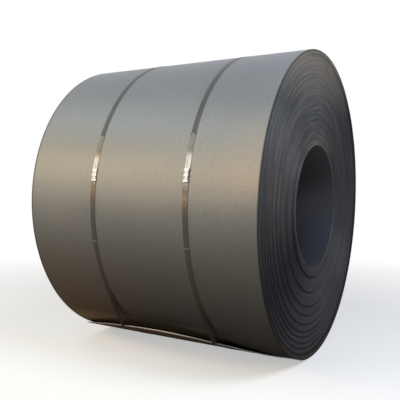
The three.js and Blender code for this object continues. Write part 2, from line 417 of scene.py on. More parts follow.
def dust_rust_and_fill_colour(recipe, x, z, radius, cos):
    """The colour of that dust and rust at a place on the coil, with painted fill light and a painted
    highlight near the tail.
    """
    far_end = recipe.times(recipe.spread(x, 0.10, -0.75), recipe.spread(z, 0.75, 0.20))
    # Rust under the near part, made lighter as painted fill light in the shadow above the tail.
    rust_and_fill_under = recipe.times(recipe.spread(x, 0.55, 0.25), recipe.spread(z, 0.24, 0.18, 0.0, 0.6))
    rusty = recipe.most(recipe.times(far_end, 0.75), rust_and_fill_under)
    dust = recipe.mix(rusty, (0.054, 0.046, 0.039), (0.190, 0.105, 0.055))

    # Painted fill light: a paler colour in the shaded wedge above the tail, tan towards the far end as a
    # painted warm glow.
    low_front = recipe.times(recipe.spread(z, 0.27, 0.19), recipe.spread(cos, 0.1, -0.1, 0.0, 0.9))
    over_tail = recipe.times(recipe.spread(radius, 0.952, 0.950), recipe.spread(x, 0.42, 0.20))
    grit_and_fill_light = recipe.mix(recipe.spread(x, -0.30, -0.55), (0.330, 0.300, 0.265), (0.330, 0.225, 0.135))
    gritty_and_filled = recipe.mix(recipe.times(low_front, over_tail), dust, grit_and_fill_light)

    # Rusty tan on the tail's far end, partly a painted highlight.
    rust_and_highlight_on_tail = recipe.times(recipe.spread(radius, 0.955, 0.965), recipe.spread(x, -0.30, -0.60))
    return recipe.mix(rust_and_highlight_on_tail, gritty_and_filled, (0.360, 0.190, 0.085))


# %% [markdown]
# ## The eye's lining
#
# The first turns were wound tight on a smooth drum, and the scale there is bluer than outside; it is
# also painted darker, as painted shade inside the eye. It could be a material of its own. But the turn
# that lines the eye is the same strip as all the others, so one recipe serves both, and the distance
# from the axis decides between them. The lining's floor is painted palest at the mouth and darker
# further in, as painted shade for the light that fades into the eye, and its upper part is a plain grey.

# %% Colour inside the eye
def lining_colour_and_shade(recipe, x, sin):
    # Painted shade: the blue floor of the eye darkens further in.
    floor_shaded_inwards = recipe.mix(recipe.spread(x, 0.77, 0.52), (0.130, 0.162, 0.235), (0.040, 0.054, 0.088))
    return recipe.mix(recipe.spread(sin, -0.60, 0.05), floor_shaded_inwards, (0.155, 0.150, 0.166))


# %% [markdown]
# ## Mill scale
#
# Hot steel grows a thin skin of grey oxide, the mill scale. It isn't shiny like bare metal: it is a
# smooth grey with a broad soft sheen. One grey would look like plastic. What gives it life is small:
# cloudy patches, faint streaks that run the way the strip was rolled, a fine grain, a few rubbed spots
# and a dark line along each edge of the strip. Over them lie a painted warm highlight near one end and
# a painted blue reflection of the sky along the top.
# The streaks come from a noise that is stretched round the coil. Its input is the direction from the
# axis and not the angle, because an angle would leave a seam where it jumps from 360 to 0. Dust has no
# gloss, so where it lies thick the steel stops being a mirror.

# %% Mill scale
def warm_highlight(recipe, x, z):
    """Painted warm highlight: how strong it is, most of all in a patch near one end, at half height."""
    half_height = recipe.times(recipe.spread(z, 0.98, 1.12), recipe.spread(z, 1.50, 1.34))
    return recipe.times(recipe.spread(x, 0.48, 0.68), half_height)


def mill_scale():
    recipe = Recipe("mill_scale")
    x, z, radius, cos, sin = round_the_axis(recipe)
    place = ring_place(recipe, x, 0.95, cos, sin)
    rolled = recipe.vector(recipe.times(x, 34.0), cos, sin)
    clouds = recipe.noise(place, 2.2, 4.0, 0.55)
    streaks = recipe.noise(rolled, 1.6, 3.0, 0.6)
    grain = recipe.noise(place, 110.0, 4.0, 0.75)
    rubs = recipe.spread(recipe.noise(place, 13.0, 3.0, 0.6), 0.70, 0.76)
    # Painted reflection: a blue sky tint along the top.
    sky_tint_share = recipe.spread(z, 1.40, 1.72)
    # Dust and painted shade: darker towards the bottom.
    low_dust_and_shade = dust_and_shade_share(recipe, z)
    in_eye = recipe.spread(radius, 0.42, 0.40)
    far_rim = recipe.spread(x, -0.738, -0.748, 0.0, 0.75)
    matt = recipe.most(low_dust_and_shade, recipe.times(in_eye, 0.7))

    plain = recipe.mix(recipe.spread(clouds, 0.30, 0.70), (0.242, 0.240, 0.235), (0.294, 0.292, 0.287))
    streaky = recipe.mix(recipe.spread(streaks, 0.35, 0.65, 0.0, 0.6), plain, (0.263, 0.258, 0.250))
    rubbed_and_highlit = recipe.mix(recipe.times(rubs, 0.25), streaky, (0.412, 0.404, 0.386))
    # Painted warm highlight near one end.
    warm_lit = recipe.mix(recipe.times(warm_highlight(recipe, x, z), 0.45), rubbed_and_highlit, (0.360, 0.306, 0.258))
    sky_tinted = recipe.mix(recipe.times(sky_tint_share, 0.5), warm_lit, (0.180, 0.212, 0.255))
    lined = recipe.mix(recipe.times(in_eye, 0.9), sky_tinted, lining_colour_and_shade(recipe, x, sin))
    dusty_and_shaded = recipe.mix(recipe.times(low_dust_and_shade, 0.96), lined, dust_rust_and_fill_colour(recipe, x, z, radius, cos))
    grainy = recipe.mix(recipe.spread(grain, 0.35, 0.65, 0.0, 0.19), dusty_and_shaded, (0.0, 0.0, 0.0))
    rimmed = recipe.mix(far_rim, grainy, (0.030, 0.024, 0.020))
    edged = recipe.mix(recipe.spread(x, 0.7580, 0.7605, 0.0, 0.65), rimmed, (0.010, 0.010, 0.011))

    broad = recipe.spread(clouds, 0.3, 0.7, 0.43, 0.50)
    speckle = recipe.spread(grain, 0, 1, -0.03, 0.03)
    dull = recipe.plus(broad, speckle, recipe.times(low_dust_and_shade, 0.15))
    waves = recipe.bump(recipe.noise(rolled, 0.35), 0.25, 0.004)
    skin = recipe.bump(grain, 0.12, 0.0006, Normal=waves)
    return recipe.finish(edged, dull, skin, Metallic=recipe.spread(matt, 0.0, 1.0, 0.40, 0.0),
                         Specular_IOR_Level=recipe.spread(matt, 0.0, 1.0, 0.50, 0.0))


MILL_SCALE = mill_scale()

# %% [markdown]
# ## Painted shade and dirt on the end
#
# The end is painted darker where shade falls: in the corner at each step between two bands, in the
# seam where the last turns have sprung a little open, over the whole lower front, at the upper back,
# towards the eye and low down, where dust darkens it too. The outermost turn is darker as well, a
# wider band at the back gets painted shade, and the foot of the outer band is muddy. Each of these is a
# share between 0 and 1 that follows the place on the end, so the recipe after this can mix them in like
# layers of paint. Where the corners, the seam and the rim are darkened, the steel is also made rough
# and no longer metallic.

# %% Shares of painted shade and dirt
def painted_end_shade(recipe, z, radius, cos, sin):
    """Painted shade: how much darker the end is made low down, at the lower front, at the upper back and
    towards the eye.
    """
    dusty_and_shaded = recipe.times(dust_and_shade_share(recipe, z), 0.35)
    towards_front = recipe.plus(recipe.times(cos, 0.60), recipe.times(sin, 0.80))
    lower_front = recipe.spread(towards_front, -0.50, -0.92, 0.0, 0.92)
    back = recipe.times(recipe.spread(cos, 0.0, 0.9, 0.0, 0.50), recipe.spread(sin, -0.6, 0.2, 0.6, 1.0))
    inner = recipe.spread(radius, 0.66, 0.50, 0.0, 0.18)
    return recipe.most(dusty_and_shaded, lower_front, back, inner)


def shade_at_steps(recipe, radius, cos, sin):
    """Painted shade in the corner at each step between two bands, more of it low down and towards the
    front.
    """
    corners = []
    for (step, _, last), (_, first, _) in zip(BANDS, BANDS[1:]):
        side = 1 if first < last else -1  # the corner lies outside a step in, and inside a step out
        sharp = recipe.spread(radius, step - side * 0.001, step + side * 0.002)
        soft = recipe.spread(radius, step + side * 0.013, step + side * 0.008)
        corners.append(recipe.times(sharp, soft))
    low = recipe.spread(sin, 0.10, -0.55, 0.10, 0.85)
    front = recipe.spread(cos, 0.60, -0.10, 0.40, 1.0)
    return recipe.times(recipe.most(*corners), low, front)


def painted_seam_shadow(recipe, radius, cos, sin):
    """Painted shadow in the seam inside the outermost turns at the lower front, where they have sprung a
    little.
    """
    seam = recipe.times(recipe.spread(radius, 0.907, 0.911), recipe.spread(radius, 0.928, 0.922))
    return recipe.times(seam, recipe.spread(cos, -0.05, -0.45), recipe.spread(sin, -0.30, -0.55))


def rim_mud(recipe, radius, sin):
    """Brown dirt on the lower part of the outermost band."""
    return recipe.times(recipe.spread(radius, 0.89, 0.93), recipe.spread(sin, -0.50, -0.85, 0.0, 0.8))


def dark_rim_and_back_shade(recipe, radius, cos, sin):
    """Darker on the outermost turn, and painted shade on a wider band at the back."""
    middle = recipe.times(recipe.spread(sin, -0.75, -0.40), recipe.spread(sin, 0.95, 0.60, 0.0, 0.5))
    band = recipe.times(recipe.spread(radius, 0.885, 0.912), recipe.spread(cos, -0.05, 0.35), middle)
    return recipe.most(band, recipe.spread(radius, 0.934, 0.940, 0.0, 0.5))


# %% [markdown]
# ## The strip's edges
#
# The end of the coil is nothing but edges, one on top of the other. They are darker than the faces and
# their grey changes from turn to turn, because each turn has rubbed and rusted differently. So their
# colour follows the radius: noise that changes quickly from turn to turn and slowly round the coil
# draws the fine rings. The real gaps and bevels between the turns do the rest.
#
# Rolling and trimming have drawn fine lines along every edge. Together they brush the end round and
# round, and a lamp's reflection on it isn't a spot but a fan that opens from the eye. Modelled
# scratches would show the same at a far higher cost. The shader's anisotropy does it with two numbers
# and a Tangent node, which gives the direction of the lines round the axis.

# %% Edges of the strip
def strip_edge():
    recipe = Recipe("strip_edge")
    x, z, radius, cos, sin = round_the_axis(recipe)
    slow = recipe.vector(recipe.times(radius, 26.0), cos, sin)
    quick = ring_place(recipe, recipe.times(radius, 150.0), 1.7, cos, sin)
    place = ring_place(recipe, x, radius, cos, sin)
    batches = recipe.noise(slow)
    rings = recipe.noise(quick, 1.0, 3.0, 0.7)
    grit_and_fill_light = recipe.noise(place, 240.0, 3.0, 0.7)
    rust = recipe.spread(recipe.noise(place, 3.1, 4.0, 0.65), 0.50, 0.72)
    # Lighter ring lines from turn to turn, made brighter towards the top as a painted highlight.
    rings_lit_above = recipe.times(recipe.spread(rings, 0.46, 0.72), recipe.spread(sin, -0.10, 0.60, 0.60, 1.0))

    plain = recipe.mix(recipe.spread(batches, 0.3, 0.7), (0.056, 0.059, 0.066), (0.084, 0.087, 0.096))
    ringed = recipe.mix(rings_lit_above, plain, (0.235, 0.213, 0.185))
    gritty_and_filled = recipe.mix(recipe.spread(grit_and_fill_light, 0.3, 0.8, 0.0, 0.5), ringed, (0.030, 0.030, 0.032))
    rusty = recipe.mix(recipe.times(rust, 0.30), gritty_and_filled, (0.120, 0.085, 0.058))
    # A warm stain above the eye, brightened along the rings as painted glints.
    over_eye = recipe.times(recipe.spread(radius, 0.50, 0.43), recipe.spread(sin, 0.70, 0.92))
    warm_stain_and_glint = recipe.times(over_eye, recipe.spread(rings, 0.40, 0.60, 0.1, 0.8))
    stained = recipe.mix(warm_stain_and_glint, rusty, (0.200, 0.165, 0.120))
    # Lighter and browner towards the top.
    lighter_towards_top = recipe.mix(recipe.spread(z, 1.55, 1.82, 0.0, 0.7), stained, (0.355, 0.310, 0.255))
    # Painted shade over the end.
    dark = recipe.mix(painted_end_shade(recipe, z, radius, cos, sin), lighter_towards_top, (0.011, 0.011, 0.014))
    muddy = recipe.mix(rim_mud(recipe, radius, sin), dark, (0.034, 0.021, 0.013))
    # Painted shade in the corners and the seam, and the darker rim.
    layers = [layer(recipe, radius, cos, sin) for layer in (shade_at_steps, painted_seam_shadow, dark_rim_and_back_shade)]
    corner_and_rim_shade = recipe.most(*layers)
    stepped = recipe.mix(corner_and_rim_shade, muddy, (0.006, 0.006, 0.007))
    # Painted highlight: a light line along the rim of the eye.
    rim_highlighted = recipe.mix(recipe.spread(radius, 0.3890, 0.3870, 0.0, 0.55), stepped, (0.240, 0.245, 0.250))

    dull = recipe.plus(recipe.spread(rings, 0.3, 0.7, 0.62, 0.48), recipe.times(corner_and_rim_shade, 0.45))
    skin = recipe.bump(grit_and_fill_light, 0.3, 0.0006)
    brushed = recipe.node("Tangent")
    brushed.direction_type = "RADIAL"
    brushed.axis = "X"
    return recipe.finish(rim_highlighted, dull, skin, Metallic=recipe.spread(corner_and_rim_shade, 0.0, 1.0, 0.4, 0.0),
                         Specular_IOR_Level=0.15, Specular_Tint=(0.30, 0.34, 0.40),
                         Anisotropic=0.80, Anisotropic_Rotation=0.25, Tangent=brushed.outputs[0])


STRIP_EDGE = strip_edge()

# %% [markdown]
# ## The sheared end
#
# The tongue was cut cold with a shear, so its edge is newer metal than the rest: a light, cool grey,
# with fine lines across the thickness where the blade dragged, and a little brown where rain has got
# at it, most of all towards the far end. The lines are noise that is squeezed along the edge. At 6 mm
# they are too fine to model.

# %% Sheared edge
def sheared_edge():
    recipe = Recipe("sheared_edge")
    x, y, z = recipe.point()
    drag = recipe.noise(recipe.vector(recipe.times(x, 420.0), y, z), 1.0, 3.0, 0.6)
    stains = recipe.noise(recipe.vector(x, y, z), 9.0, 3.0, 0.6)
    cut = recipe.mix(recipe.spread(drag, 0.3, 0.7), (0.240, 0.250, 0.270), (0.320, 0.335, 0.365))
    stained = recipe.mix(recipe.spread(stains, 0.50, 0.75, 0.0, 0.4), cut, (0.200, 0.165, 0.140))
    brown = recipe.mix(recipe.spread(x, -0.55, -0.70, 0.0, 0.85), stained, (0.120, 0.078, 0.045))
    return recipe.finish(brown, 0.42, recipe.bump(drag, 0.3, 0.0004), Metallic=0.35)


SHEARED_EDGE = sheared_edge()

# %% [markdown]
# ## Winding the strip
#
# Now the tail's stations and the coil's are put in one row and the strip is made in one go: one mesh,
# about 400 metres long when unrolled. Separate hoops would look alike from afar, but they would have
# no tail, and no end in the eye. The strip starts at the tongue's tip, because the stations of the tail
# run towards the root. The order of the ring's corners decides which finish each side takes: sides 3
# and 7 are the broad faces, 0 to 2 the near edge and 4 to 6 the far one.

# %% The wound strip
BROAD_SIDES = (3, 7)
NEAR_SIDES = (0, 1, 2)
FAR_SIDES = (4, 5, 6)
FACE, EDGE, SHEARED = range(3)
CUT_BEVEL = EDGE_BEVEL / 3

path = np.concatenate([tail_path[:-1], coil_path])
outward = np.concatenate([tail_outward[:-1], coil_outward])
near = np.concatenate([tail_near[:-1], coil_near])
far = np.concatenate([tail_far[:-1], coil_far])
cut_stations = len(tail_along) - 1
bevel = np.full(len(path), EDGE_BEVEL)
bevel[:cut_stations] = CUT_BEVEL
section_x, section_down = flat_section(near, far, STRIP_THICKNESS - AIR, bevel)

slots = np.full((len(path) - 1, 8), EDGE)
slots[:, BROAD_SIDES] = FACE
for edge, sides in ((near, NEAR_SIDES), (far, FAR_SIDES)):
    is_cut = np.abs(np.diff(edge[:cut_stations + 1])) > 1e-6  # where the edge isn't parallel to the rest
    for side in sides:
        slots[:cut_stations, side][is_cut] = SHEARED

rings = rings_along(path, outward, section_x, section_down)
wound_strip = mesh_from_rings("wound_strip", rings, slots, [MILL_SCALE, STRIP_EDGE, SHEARED_EDGE])
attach(wound_strip, "root")
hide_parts("steel_coil")
unrolled = np.linalg.norm(np.diff(path, axis=0), axis=1).sum()
print(f"the strip is {unrolled:.0f} m long")

# %% [markdown]
# ## Where a strap runs
#
# A strap is pulled tight, so seen from the end it is the shortest line round everything inside it: the
# coil, the sprung tail and the underside of its own seal. That is a convex outline. We collect the
# points that could push it out, keep the convex ones, and read the outline as a radius for each angle.
# Where the strap leaves the coil for the tip of the tail it then spans the gap in a straight line, with
# a thin dark wedge behind it, and no number had to be typed for that.

# %% Sizes of the straps and seals
STRAP_WIDTH = 0.032
STRAP_THICKNESS = 0.001
STRAP_BEVEL = 0.00025
STRAPS = {"left": (-0.261, 0.0), "right": (0.359, -0.012)}  # X at the axis, and lean for each metre up
STRAP_FIT = 0.0002  # how close the strap lies
OUTER_END = 153.5  # angle of the strap's outer end, above the seal
INNER_END = 191.5  # and of its inner end, under it
RAMP_DEGREES = 3.0  # over which the outer layer comes down off the inner end
SEAL_ANGLE = 167.7
SEAL_LENGTH = 0.070
SEAL_SHEET = 0.0012
SEAL_PLAY = 0.0006  # between the strap's edges and the seal
OUTLINE_SPACING = 0.01
TAIL_POINTS, SEAL_POINTS = 40, 9  # that could push the outline out
print(f"each seal covers {np.degrees(SEAL_LENGTH / COIL_RADIUS):.1f} degrees of the coil")


# %% A convex outline
def coil_radius_at(angle):
    """Radius over the outermost turn at an angle."""
    return COIL_RADIUS - PITCH * ((angle - TAIL_ROOT) % 360) / 360


def convex_outline(points):
    """The convex outline round points in a plane, anticlockwise."""
    ordered = sorted(map(tuple, points))

    def half(row):
        kept = []
        for y, z in row:
            while len(kept) > 1:
                (ay, az), (by, bz) = kept[-2:]
                if (by - ay) * (z - az) - (bz - az) * (y - ay) > 0:
                    break
                kept.pop()
            kept.append((y, z))
        return kept[:-1]

    return np.array(half(ordered) + half(ordered[::-1]))


# %% The line of a tight strap
def strap_bed(side):
    """Angles and radii of the line that a tight strap lies on."""
    x, lean = STRAPS[side]
    x_at_tail = x + lean * tail_line(TAIL_LENGTH)[0][1]
    reach = max(tail_length(x_at_tail - STRAP_WIDTH / 2), tail_length(x_at_tail + STRAP_WIDTH / 2))
    round_coil = np.arange(0, 360, 1.0)
    over_tail = np.linspace(0, reach, TAIL_POINTS)
    half_seal = np.degrees(SEAL_LENGTH / 2 / COIL_RADIUS)
    over_seal = SEAL_ANGLE + np.linspace(-half_seal, half_seal, SEAL_POINTS)
    points = np.concatenate([
        direction(round_coil) * coil_radius_at(round_coil)[:, None],
        tail_line(over_tail)[0],
        direction(over_seal) * (coil_radius_at(over_seal) + SEAL_SHEET + STRAP_FIT)[:, None],
    ])
    outline = convex_outline(points)
    spaced = []
    for start, end in zip(outline, np.roll(outline, -1, 0)):
        pieces = max(1, round(np.linalg.norm(end - start) / OUTLINE_SPACING))
        spaced.extend(start + (end - start) * step / pieces for step in range(pieces))
    spaced = np.array(spaced)
    angles = np.degrees(np.arctan2(spaced[:, 1], spaced[:, 0])) % 360
    order = np.argsort(angles)
    return angles[order], np.linalg.norm(spaced, axis=1)[order]


def on_bed(bed, angle, height):
    """Points a height above the bed at angles, and the outward directions there."""
    def place(at):
        radius = np.interp(at, *bed, period=360) + height
        return direction(at) * radius[:, None]

    aside = 0.2  # degrees
    along = place(angle + aside) - place(angle - aside)
    along /= np.linalg.norm(along, axis=1)[:, None]
    return place(angle), np.stack([along[:, 1], -along[:, 0]], axis=1)


BEDS = {side: strap_bed(side) for side in STRAPS}
for side, (_, radii) in BEDS.items():
    print(f"the {side} strap's bed is {radii.min():.3f} to {radii.max():.3f} m from the axis")

# %% [markdown]
# ## Strap steel
#
# Steel strapping is blued or waxed: dark, with a violet-brown cast. These straps have weathered. Near
# the seal the tools that stretched and crimped them have scraped them bright, and around those scrapes
# the steel has rusted orange and brown. The scrapes and the rust are placed by the angle round the
# coil, broken up by noise, and the left and the right strap have their own. The angle is measured so
# that its seam falls at the back of the coil. Only the scraped stretch is bare metal, so only there
# is the Metallic setting raised. A thin painted highlight crosses each strap where it bends down over
# the end of its own inner layer, and a painted shadow lies across it in the corner under the seal. Low
# down the straps are darker, with the coil's dirt and with painted shade.

# %% Colours along the straps
DARK = (0.060, 0.053, 0.053)
GREY = (0.325, 0.310, 0.280)
TAN = (0.400, 0.300, 0.215)
BUFF = (0.500, 0.370, 0.260)
BARE = (0.520, 0.530, 0.560)
RUST = (0.245, 0.172, 0.118)
BROWN = (0.108, 0.076, 0.056)
STRAP_STORY = {
    "left": [(153.1, DARK), (153.5, GREY), (158, GREY), (159.2, TAN), (160, BUFF), (162.6, BARE),
             (169.8, BARE), (170.8, TAN), (174, RUST), (176.5, BROWN), (178, BROWN), (180, DARK)],
    "right": [(153.6, DARK), (154, GREY), (158.8, GREY), (159.6, TAN), (160.2, BARE), (170.6, BARE),
              (171.8, TAN), (173, RUST), (175, TAN), (177, RUST), (178.5, BROWN), (181, DARK)],
}
STORY_FROM, STORY_TO = 145.0, 185.0  # the angles that the ramp of colours covers
STEP_HIGHLIGHT = INNER_END - 0.4  # angle of the painted highlight where the strap steps down
SHADOW_LINE = SEAL_ANGLE + 2.2  # angle of the corner under the seal
for side, story in STRAP_STORY.items():
    print(f"the {side} strap changes colour at {len(story)} angles")


# %% Strap steel
def strap_steel(side):
    recipe = Recipe(f"strap_steel_{side}")
    x, z, radius, cos, sin = round_the_axis(recipe)
    from_front = recipe.math("ARCTAN2", recipe.times(sin, -1.0), recipe.times(cos, -1.0))
    angle = recipe.plus(recipe.math("DEGREES", from_front), 180.0)
    rolled = recipe.vector(recipe.times(x, 18.0), cos, sin)
    blotches = recipe.noise(ring_place(recipe, x, radius, cos, sin), 60.0, 4.0, 0.6)
    lines = recipe.noise(rolled, 12.0, 2.0, 0.6)
    ragged = recipe.plus(angle, recipe.spread(blotches, 0.2, 0.8, -1.2, 1.2))
    # Dust and painted shade: the straps are darker towards the bottom.
    low_dust_and_shade = recipe.spread(z, 0.97, 0.36)
    scraped = recipe.times(recipe.spread(ragged, 160.2, 161.4), recipe.spread(ragged, 169.6, 168.4))
    off_highlight = recipe.math("ABSOLUTE", recipe.math("SUBTRACT", angle, STEP_HIGHLIGHT))
    off_shadow_line = recipe.math("ABSOLUTE", recipe.math("SUBTRACT", angle, SHADOW_LINE))

    stops = [((at - STORY_FROM) / (STORY_TO - STORY_FROM), colour) for at, colour in STRAP_STORY[side]]
    story = recipe.ramp(recipe.spread(ragged, STORY_FROM, STORY_TO), stops)
    speckled = recipe.mix(recipe.spread(blotches, 0.40, 0.80, 0.0, 0.4), story, (0.075, 0.050, 0.040))
    lined = recipe.mix(recipe.spread(lines, 0.45, 0.65, 0.0, 0.55), speckled, (0.090, 0.084, 0.084))
    dusty_and_shaded = recipe.mix(recipe.times(low_dust_and_shade, 0.85), lined, (0.030, 0.020, 0.015))
    # Painted highlight across the strap where it steps down over its inner layer.
    rubbed_and_highlit = recipe.mix(recipe.spread(off_highlight, 0.33, 0.13, 0.0, 0.5), dusty_and_shaded, (0.300, 0.280, 0.250))
    # Painted shadow across the strap just under the seal.
    shadowed = recipe.mix(recipe.spread(off_shadow_line, 0.28, 0.16, 0.0, 0.7), rubbed_and_highlit, (0.020, 0.015, 0.012))

    dull = recipe.plus(recipe.spread(blotches, 0.2, 0.8, 0.34, 0.58), recipe.times(low_dust_and_shade, 0.25))
    skin = recipe.bump(blotches, 0.2, 0.0004)
    return recipe.finish(shadowed, dull, skin, Metallic=recipe.times(scraped, 0.6),
                         Specular_IOR_Level=recipe.spread(low_dust_and_shade, 0.0, 1.0, 0.50, 0.05))


# %% [markdown]
# ## The crimps
#
# The sealing tool shears four notches into the edges of the joint, two on each side, through the seal
# and through both layers of strap inside it. Booleans could cut them, but would break up the neat rows
# of faces. Here a single function says how deep a notch reaches at a distance from the seal's middle.
# The strap and the seal both use it, so that their notches line up.

# %% Notches of the crimped joint
NOTCH_SPACING = 0.026
NOTCH_MOUTH = 0.011
NOTCH_FLOOR = 0.0055
NOTCH_DEPTH = 0.0065
EVEN_STATIONS = 29


def notch_depth(from_middle):
    """Depth of the notches at distances from the seal's middle, along the strap."""
    from_notch = np.abs(np.abs(from_middle) - NOTCH_SPACING / 2)
    share = (NOTCH_MOUTH / 2 - from_notch) / (NOTCH_MOUTH / 2 - NOTCH_FLOOR / 2)
    return NOTCH_DEPTH * np.clip(share, 0, 1)


def joint_stations():
    """Distances from the seal's middle at which the joint changes its width."""
    half = SEAL_LENGTH / 2
    stations = list(np.linspace(-half, half, EVEN_STATIONS))
    for notch in (-NOTCH_SPACING / 2, NOTCH_SPACING / 2):
        for reach in (NOTCH_MOUTH, (NOTCH_MOUTH + NOTCH_FLOOR) / 2, NOTCH_FLOOR):
            stations += [notch - reach / 2, notch + reach / 2]
    return np.unique(np.round(stations, 5))


print(f"each joint has {len(joint_stations())} stations over {SEAL_LENGTH * 1000:.0f} mm")

# %% [markdown]
# ## Tying the straps
#
# Each strap starts with the end that shows, above the seal, runs down the front, under the coil and
# up behind it, and comes back over the top to slip under its own start. So for the first stretch it
# rides one thickness higher. The free end was let go by the tool and has sprung up a few millimetres.
# A closed hoop would be easier to make, but nothing would lie double in the seal.

# %% The two straps
STRAP_STEP = 1.2
END_SPRING = 0.0035
END_SPRING_DEGREES = 2.6
END_DEGREES, END_STATIONS = 3.0, 9  # the free end has closer stations


def make_strap(side):
    x, lean = STRAPS[side]
    joint = SEAL_ANGLE + np.degrees(joint_stations() / COIL_RADIUS)
    plain = np.arange(OUTER_END, INNER_END + 360, STRAP_STEP)
    free_end = OUTER_END + np.linspace(0, END_DEGREES, END_STATIONS)
    ramp = [INNER_END, INNER_END + RAMP_DEGREES, INNER_END + 360]
    angle = np.unique(np.round(np.concatenate([plain, joint, joint + 360, free_end, ramp]), 3))
    down = np.clip((angle - INNER_END) / RAMP_DEGREES, 0, 1)
    spring = np.clip(1 - (angle - OUTER_END) / END_SPRING_DEGREES, 0, 1) ** 2
    height = STRAP_FIT + (1 - down) * (STRAP_THICKNESS + AIR) + END_SPRING * spring
    path, outward = on_bed(BEDS[side], angle, height + STRAP_THICKNESS)
    from_seal = ((angle - SEAL_ANGLE + 180) % 360 - 180) * np.radians(1) * COIL_RADIUS
    half = STRAP_WIDTH / 2 - np.maximum(notch_depth(from_seal) - SEAL_PLAY - SEAL_SHEET, 0)
    middle = x + lean * path[:, 1]
    section_x, section_down = flat_section(middle + half, middle - half, STRAP_THICKNESS, STRAP_BEVEL)
    rings = rings_along(path, outward, section_x, section_down)
    slots = np.zeros((len(path) - 1, 8), int)
    piece = mesh_from_rings(f"tied_strap_{side}", rings, slots, [strap_steel(side)])
    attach(piece, "root")
    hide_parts(f"strap_{side}")


for side in STRAPS:
    make_strap(side)

# %% [markdown]
# ## Seal steel
# Metal takes its look from what it mirrors, so it needs little colour of its own: a cool light grey,
# smeared here and there with dirt. The sleeve's narrow side walls get a second, dark material, which is
# painted shade and draws the seal's outline. Painted shade also darkens the flat next to the near wall,
# further in on the right seal than on the left.

# %% Seal steel
SHADE_FROM = {"left": 0.0140, "right": 0.0070}  # how far from the seal's middle the painted shade begins


def seal_steel(side):
    recipe = Recipe(f"seal_steel_{side}")
    x, y, z = recipe.point()
    smears = recipe.noise(recipe.vector(x, y, z), 110.0, 3.0, 0.6)
    across = recipe.vector(recipe.times(x, 900.0), y, recipe.times(z, 60.0))
    scratches = recipe.noise(across, 1.0, 2.0, 0.6)
    metal = recipe.mix(recipe.spread(smears, 0.3, 0.7), (0.640, 0.650, 0.700), (0.470, 0.475, 0.510))
    dirty = recipe.mix(recipe.spread(smears, 0.55, 0.75, 0.0, 0.8), metal, (0.150, 0.125, 0.100))
    strap_x, lean = STRAPS[side]
    # Painted shade on the flat next to the near side wall.
    shade_x = strap_x + lean * COIL_RADIUS * direction(SEAL_ANGLE)[1] + SHADE_FROM[side]
    ragged = recipe.plus(x, recipe.spread(smears, 0.3, 0.7, -0.0015, 0.0015))
    side_shade = recipe.spread(ragged, shade_x, shade_x + 0.003, 0.0, 0.85)
    shadowed = recipe.mix(side_shade, dirty, (0.040, 0.035, 0.030))
    rough = recipe.spread(scratches, 0.3, 0.7, 0.32, 0.48)
    skin = recipe.bump(scratches, 0.25, 0.0003)
    return recipe.finish(shadowed, rough, skin, Metallic=0.7)


# Painted shade: the dark material of the sleeve's side walls.
def seal_side_shade():
    recipe = Recipe("seal_side_shade")
    side_shade = recipe.noise(recipe.vector(*recipe.point()), 260.0, 3.0, 0.6)
    dark = recipe.mix(recipe.spread(side_shade, 0.3, 0.7), (0.030, 0.026, 0.023), (0.075, 0.066, 0.058))
    return recipe.finish(dark, recipe.spread(side_shade, 0.3, 0.7, 0.6, 0.8), recipe.bump(side_shade, 0.3, 0.0003))


SEAL_SIDE_SHADE = seal_side_shade()

# %% [markdown]
# ## Crimping the seals
#
# A seal is a short sleeve of sheet round both layers of strap. Its rings run along it outside and come
# back inside, so a single row of rings makes a hollow sleeve with real sheet thickness. Inside and
# outside get roundings of their own, which a Solidify modifier wouldn't give. Along its length the
# section narrows at the notches, and the sheet beside each notch is pushed up into a small burr, which
# gives the crimp its wavy top.

# %% Corners of a sleeve
def sleeve_corners(width, low, high, rounding):
    """Corners of a rounded rectangle as x and height arrays, one row for each of the widths."""
    turns = np.radians([-90, -45, 0, 0, 45, 90, 90, 135, 180, 180, 225, 270])
    sign_x = np.repeat([1, -1], 6)
    sign_up = np.repeat([-1, 1, -1], [3, 6, 3])
    x = sign_x * (width[:, None] / 2 - rounding) + rounding * np.cos(turns)
    up = (low + high) / 2 + sign_up * ((high - low) / 2 - rounding) + rounding * np.sin(turns)
    return x, np.tile(up, (len(width), 1))


# %% The two seals
BURR = 0.0011
BURR_FROM_NOTCH = 0.006  # from the notch's middle to the burr beside it
BURR_REACH = 0.004
OUTER_ROUNDING, INNER_ROUNDING = 0.0010, 0.0002
SIDE_WALLS = (2, 8)  # the sleeve's corners from which its two side walls start
UPPER_CORNERS = slice(3, 9)


